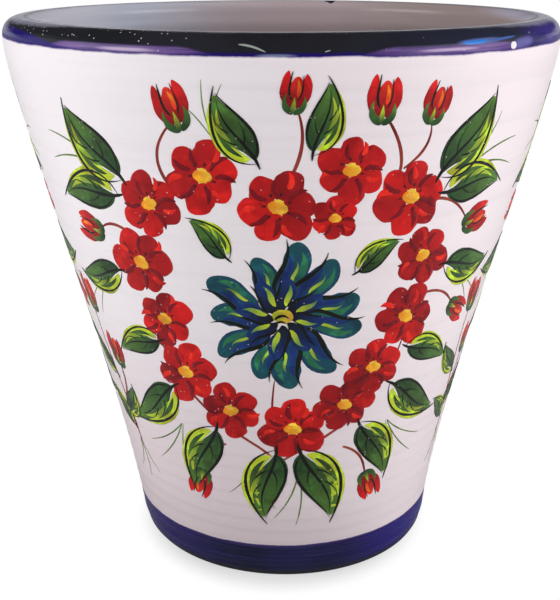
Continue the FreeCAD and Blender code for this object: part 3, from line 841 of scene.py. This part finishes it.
def bud(across, up, turn, size=1.0):
    """A half open red bud: two petals behind, one before them, ink between, and a green cup."""
    drawing = strokes(
        ((0, 0), (-8, 4), (-6, 13), (-5, 21), 7, (0.6, 0.7), 1, crimson, scarlet),
        ((0, 0), (8, 4), (7, 13), (6, 20), 7, (0.6, 0.7), 1, crimson, scarlet),
        ((0, 0), (-2, 6), (2, 12), (0.6, 18), 8.4, (0.6, 0.5), 2, crimson, vermilion),
        ((1.4, 6), (2.6, 9), (2.4, 13), (1, 16), 2.6, (0.5, 0.8), 3, vermilion, orange),
        ((-1.6, 4), (-5, 8), (-3.4, 14), (-2.6, 21), 1.5, (0.5, 0.8), 4, ink, ink),
        ((2, 4), (5, 8), (4, 14), (4, 19), 1.3, (0.5, 0.8), 4, ink, crimson),
        ((0, -4), (-6, -2), (-7, 3), (-5, 8), 4, (0.4, 1), 5, bottle, leaf_green),
        ((0, -4), (6, -2), (7, 2), (6, 7), 4, (0.4, 1), 5, bottle, leaf_green),
        ((-1, -4), (0, -1), (0, 2), (0, 6), 3, (0.4, 1), 6, bottle, lime),
    )
    return placed(drawing, across, up, turn, size)


def tendril(across, up, turn, size=1.0, bow=1):
    """Three fine green hairs that spring from one place and part."""
    drawing = strokes(
        ((0, 0), (3, 12), (10, 24), (22, 34), 1.2, (0.3, 0.5), 1, moss, moss),
        ((0, 0), (-1, 14), (2, 28), (9, 42), 1.2, (0.3, 0.5), 1, moss, moss),
        ((-1, 0), (-4, 12), (-6, 22), (-14, 32), 1, (0.3, 0.5), 1, moss, moss),
    )
    return placed(drawing, across, up, turn, size, bow)


def twig(*poles, width=1.8):
    """A brown-red twig: one long stroke."""
    return strokes((*poles, width, (0.15, 0.3), 0, russet, crimson))


def each(motif, *places):
    """A motif at each of its places: millimetres across and up, turn in degrees, size, and bow."""
    return [motif(*place) for place in places]


# One bouquet: each twig by its line's four poles, and each other motif by its place.
twigs = [
    twig((-6, 50), (6, 66), (-10, 84), (-4, 130)), twig((-6, 82), (-18, 96), (-52, 104), (-68, 156)),
    twig((-2, 78), (14, 92), (54, 102), (66, 158)),
    twig((-46, 226), (-62, 240), (-60, 252), (-47, 264)),
    twig((48, 228), (60, 240), (54, 254), (45, 266), width=2),
    twig((-2, 230), (8, 242), (12, 256), (6, 270)), twig((68, 222), (80, 226), (92, 220), (99, 208)),
    twig((70, 172), (84, 174), (92, 170), (98, 160)),
    twig((-70, 200), (-82, 210), (-92, 210), (-98, 203)),
    twig((-30, 88), (-40, 84), (-42, 76), (-44, 66)), twig((32, 86), (42, 82), (45, 74), (46, 64)),
    twig((56, 240), (66, 246), (70, 252), (69, 260), width=1.6),
]
tendrils = each(
    tendril, (-92, 238, -60, 0.95, -1), (94, 236, 62, 0.95, 1), (-56, 96, -160, 0.8, 1),
    (58, 98, 156, 0.8, -1), (8, 72, 170, 0.85, 1), (-14, 76, -166, 0.75, -1), (-98, 176, -120, 0.7, -1),
    (98, 178, 116, 0.7, 1), (-30, 256, -22, 0.6, 1),
)
blossoms = each(
    blossom, (-36, 238, 10, 1.1), (-64, 222, -12, 1.02), (-2, 224, 20, 1.14), (31, 241, 0, 1.02),
    (61, 226, 14, 1.13), (-72, 190, 25, 1.12), (-61, 160, 5, 1.0), (71, 194, -14, 1.02),
    (64, 161, 30, 1.12), (-51, 130, 12, 1.1), (-27, 110, -12, 1.0), (5, 100, 8, 1.12),
    (32, 113, 18, 1.0), (47, 134, 3, 1.02), (24, 218, 3, 0.72),
)
leaves = each(
    leaf, (-80, 234, -50, 0.88, -1), (-84, 224, -94, 0.8, 1), (-12, 246, -34, 0.68, -1),
    (14, 250, 16, 0.62, 1), (78, 236, 44, 0.9, 1), (82, 226, 86, 0.8, -1), (-88, 182, -108, 0.74, -1),
    (88, 186, 100, 0.78, 1), (-66, 146, -110, 0.66, 1), (68, 142, 112, 0.66, -1),
    (-60, 118, -136, 0.84, -1), (60, 120, 130, 0.84, 1), (-36, 96, -158, 0.86, 1),
    (42, 98, 152, 0.8, -1), (-4, 84, -168, 0.88, 1), (10, 84, 156, 0.94, -1), (-26, 198, -40, 0.5, 1),
    (36, 190, 52, 0.5, -1),
)
buds = each(
    bud, (5, 270, 6, 0.72), (-46, 262, -22, 0.9), (44, 265, 4, 0.86), (100, 206, 74, 0.86),
    (98, 159, 118, 0.8), (-99, 202, -84, 0.86), (-45, 65, -168, 0.8), (47, 63, 162, 0.8),
    (69, 263, 16, 0.78),
)
sprig = [
    twig((112, 66), (118, 92), (112, 120), (122, 152), width=1.5),
    twig((114, 96), (122, 104), (126, 112), (127, 122)),
    *each(bud, (122, 152, 8, 0.85), (127, 122, 14, 0.8)), tendril(112, 72, 176, 0.6, 1),
]
leaves += each(leaf, (115, 112, -40, 0.52, -1), (113, 88, 44, 0.5, 1), (112, 80, -36, 0.46, 1))
painted("painted_twigs", twigs + tendrils, rows=90, columns=5)
painted("painted_sprigs", sprig, rows=60, columns=7)
painted("painted_petals", [petals for petals, _ in blossoms], rows=18, lift=0.00006)
painted("painted_dabs", [dabs for _, dabs in blossoms], rows=9, columns=5, lift=0.00008)
painted("painted_cornflower", [cornflower(0, 166, 8, 1.18)], rows=22, lift=0.00004)
painted("painted_leaves", [body for body, _ in leaves], rows=24, lift=0.00012)
painted("painted_veins", [veins for _, veins in leaves], rows=44, columns=5, lift=0.00014)
painted("painted_buds", buds, rows=16, lift=0.0001)


# The studio: a pale floor, a white backdrop, a low softbox on each side, and soft light from above
# and behind. In the gloss a dimmer panel stands for each softbox, so that no edge burns out.
pot_middle = (0, 0, 0.16)
floor_level, floor_reach = -0.0002, 9
floor_shade, floor_pale, white_light = (0.43, 0.43, 0.43, 1), (0.46, 0.46, 0.46, 1), (1, 1, 1, 1)
cool_light, dim = (0.96, 0.97, 1, 1), (0.03, 0.03, 0.03, 1)

floor_finish, tree, shader, place = fired("pale studio floor")
shader.inputs["Roughness"].default_value = 0.6
grain = noise(tree, place, 40, 2)
tree.links.new(mixed(tree, grain, floor_shade, floor_pale), shader.inputs["Base Color"])

# The camera sees the floor white, but for the pot's soft shadow close to the foot.
sockets = {0: place, "Location": (0, 0.005, 0), "Scale": (1.1, 1, 1)}
away = node(tree, "ShaderNodeMapping", sockets).outputs[0]
away = node(tree, "ShaderNodeVectorMath", {0: away}, operation="LENGTH").outputs["Value"]
beside_foot = ranged(tree, away, 0.08, 0.101, 0.6, 1.0)
clear = math(tree, "MULTIPLY", beside_foot, ranged(tree, away, 0.05, 0.075))
path = node(tree, "ShaderNodeLightPath").outputs
bright = node(tree, "ShaderNodeEmission", {"Color": white_light, "Strength": 1.0}).outputs[0]
seen = math(tree, "MULTIPLY", clear, path["Is Camera Ray"])
both = node(tree, "ShaderNodeMixShader", {0: seen, 1: shader.outputs[0], 2: bright})
tree.links.new(both.outputs[0], tree.nodes["Material Output"].inputs["Surface"])

floor_mesh = bpy.data.meshes.new("floor")
square = np.array(((-1, -1, 0), (1, -1, 0), (1, 1, 0), (-1, 1, 0))) * floor_reach
corners = square + (0, 0, floor_level)
floor_mesh.from_pydata(corners, [], [(0, 1, 2, 3)])
floor_mesh.materials.append(floor_finish)
floor = bpy.data.objects.new("floor", floor_mesh)
bpy.context.scene.collection.objects.link(floor)

world = bpy.data.worlds.new("studio")
bpy.context.scene.world = world
world.use_nodes = True
tree = world.node_tree
path = node(tree, "ShaderNodeLightPath").outputs
way = xyz(tree, node(tree, "ShaderNodeTexCoord").outputs["Generated"])

# What the gloss mirrors: dim side walls and back wall, and a panel in the direction of each lamp.
to_the_side = math(tree, "ABSOLUTE", way["X"])
side_walls = ranged(tree, way["Z"], 0.6, 0.2, 0, 0.55)
side_walls = math(tree, "MULTIPLY", ranged(tree, to_the_side, 0.72, 0.97), side_walls)
back_wall = ranged(tree, way["Z"], 0.14, 0.07, 0, 0.5)
back_wall = math(tree, "MULTIPLY", ranged(tree, way["Y"], 0.1, 0.5), back_wall)
panel = math(tree, "ABSOLUTE", math(tree, "SUBTRACT", way["Z"], 0.12))
panel = ranged(tree, panel, 0.34, 0.22, 0, 2.4)
panel = math(tree, "MULTIPLY", panel, ranged(tree, to_the_side, 0.66, 0.8))
panel = math(tree, "MULTIPLY", panel, ranged(tree, way["Y"], 0.08, -0.12))
mirrored = math(tree, "ADD", math(tree, "MAXIMUM", side_walls, back_wall), panel)

# What lights the pot from all round, stronger from behind and from above. The camera sees white.
fill = ranged(tree, way["Y"], 0.45, 0.95, 0.115, 1.3)
fill = math(tree, "ADD", fill, ranged(tree, way["Z"], 0.6, 0.95, 0, 0.8))
lit = mixed(tree, path["Is Glossy Ray"], fill, dim)
lit = plus(tree, lit, mirrored, path["Is Glossy Ray"])
soft_light = tree.nodes["Background"]
soft_light.inputs["Color"].default_value = cool_light
tree.links.new(lit, soft_light.inputs["Strength"])
backdrop = node(tree, "ShaderNodeBackground", {"Color": white_light, "Strength": 1.0}).outputs[0]
sockets = {0: path["Is Camera Ray"], 1: soft_light.outputs[0], 2: backdrop}
room = node(tree, "ShaderNodeMixShader", sockets).outputs[0]
tree.links.new(room, tree.nodes["World Output"].inputs["Surface"])


def softbox(name, place, width, tall, power):
    """A flat lamp at a place, turned to face the middle of the pot."""
    lamp = bpy.data.lights.new(name, "AREA")
    lamp.shape = "RECTANGLE"
    lamp.size, lamp.size_y, lamp.energy = width, tall, power
    box = bpy.data.objects.new(name, lamp)
    way = np.array(pot_middle, dtype=float) - place
    tilt, heading = np.arccos(-way[2] / np.linalg.norm(way)), np.arctan2(way[1], way[0])
    box.rotation_euler = (tilt, 0, heading - np.pi / 2)
    box.location = place
    box.visible_glossy = False
    bpy.context.scene.collection.objects.link(box)


softbox("left_softbox", (-0.97, -0.5, 0.44), width=0.85, tall=0.62, power=9.9)
softbox("right_softbox", (0.97, -0.49, 0.38), width=0.8, tall=0.5, power=9.55)

picture_height, focal_length_in_pixels, sensor = 600, 1030.6, 36
lens = bpy.data.cameras.new("camera")
lens.sensor_width = sensor
lens.lens = focal_length_in_pixels / picture_height * sensor
camera = bpy.data.objects.new("camera", lens)
camera.location = (-0.0007, -0.5826, 0.3339)
looking_down = np.radians(18.92)
camera.rotation_euler = (np.pi / 2 - looking_down, 0, 0)
bpy.context.scene.collection.objects.link(camera)
bpy.context.scene.camera = camera
bpy.context.scene.view_settings.view_transform = "Standard"
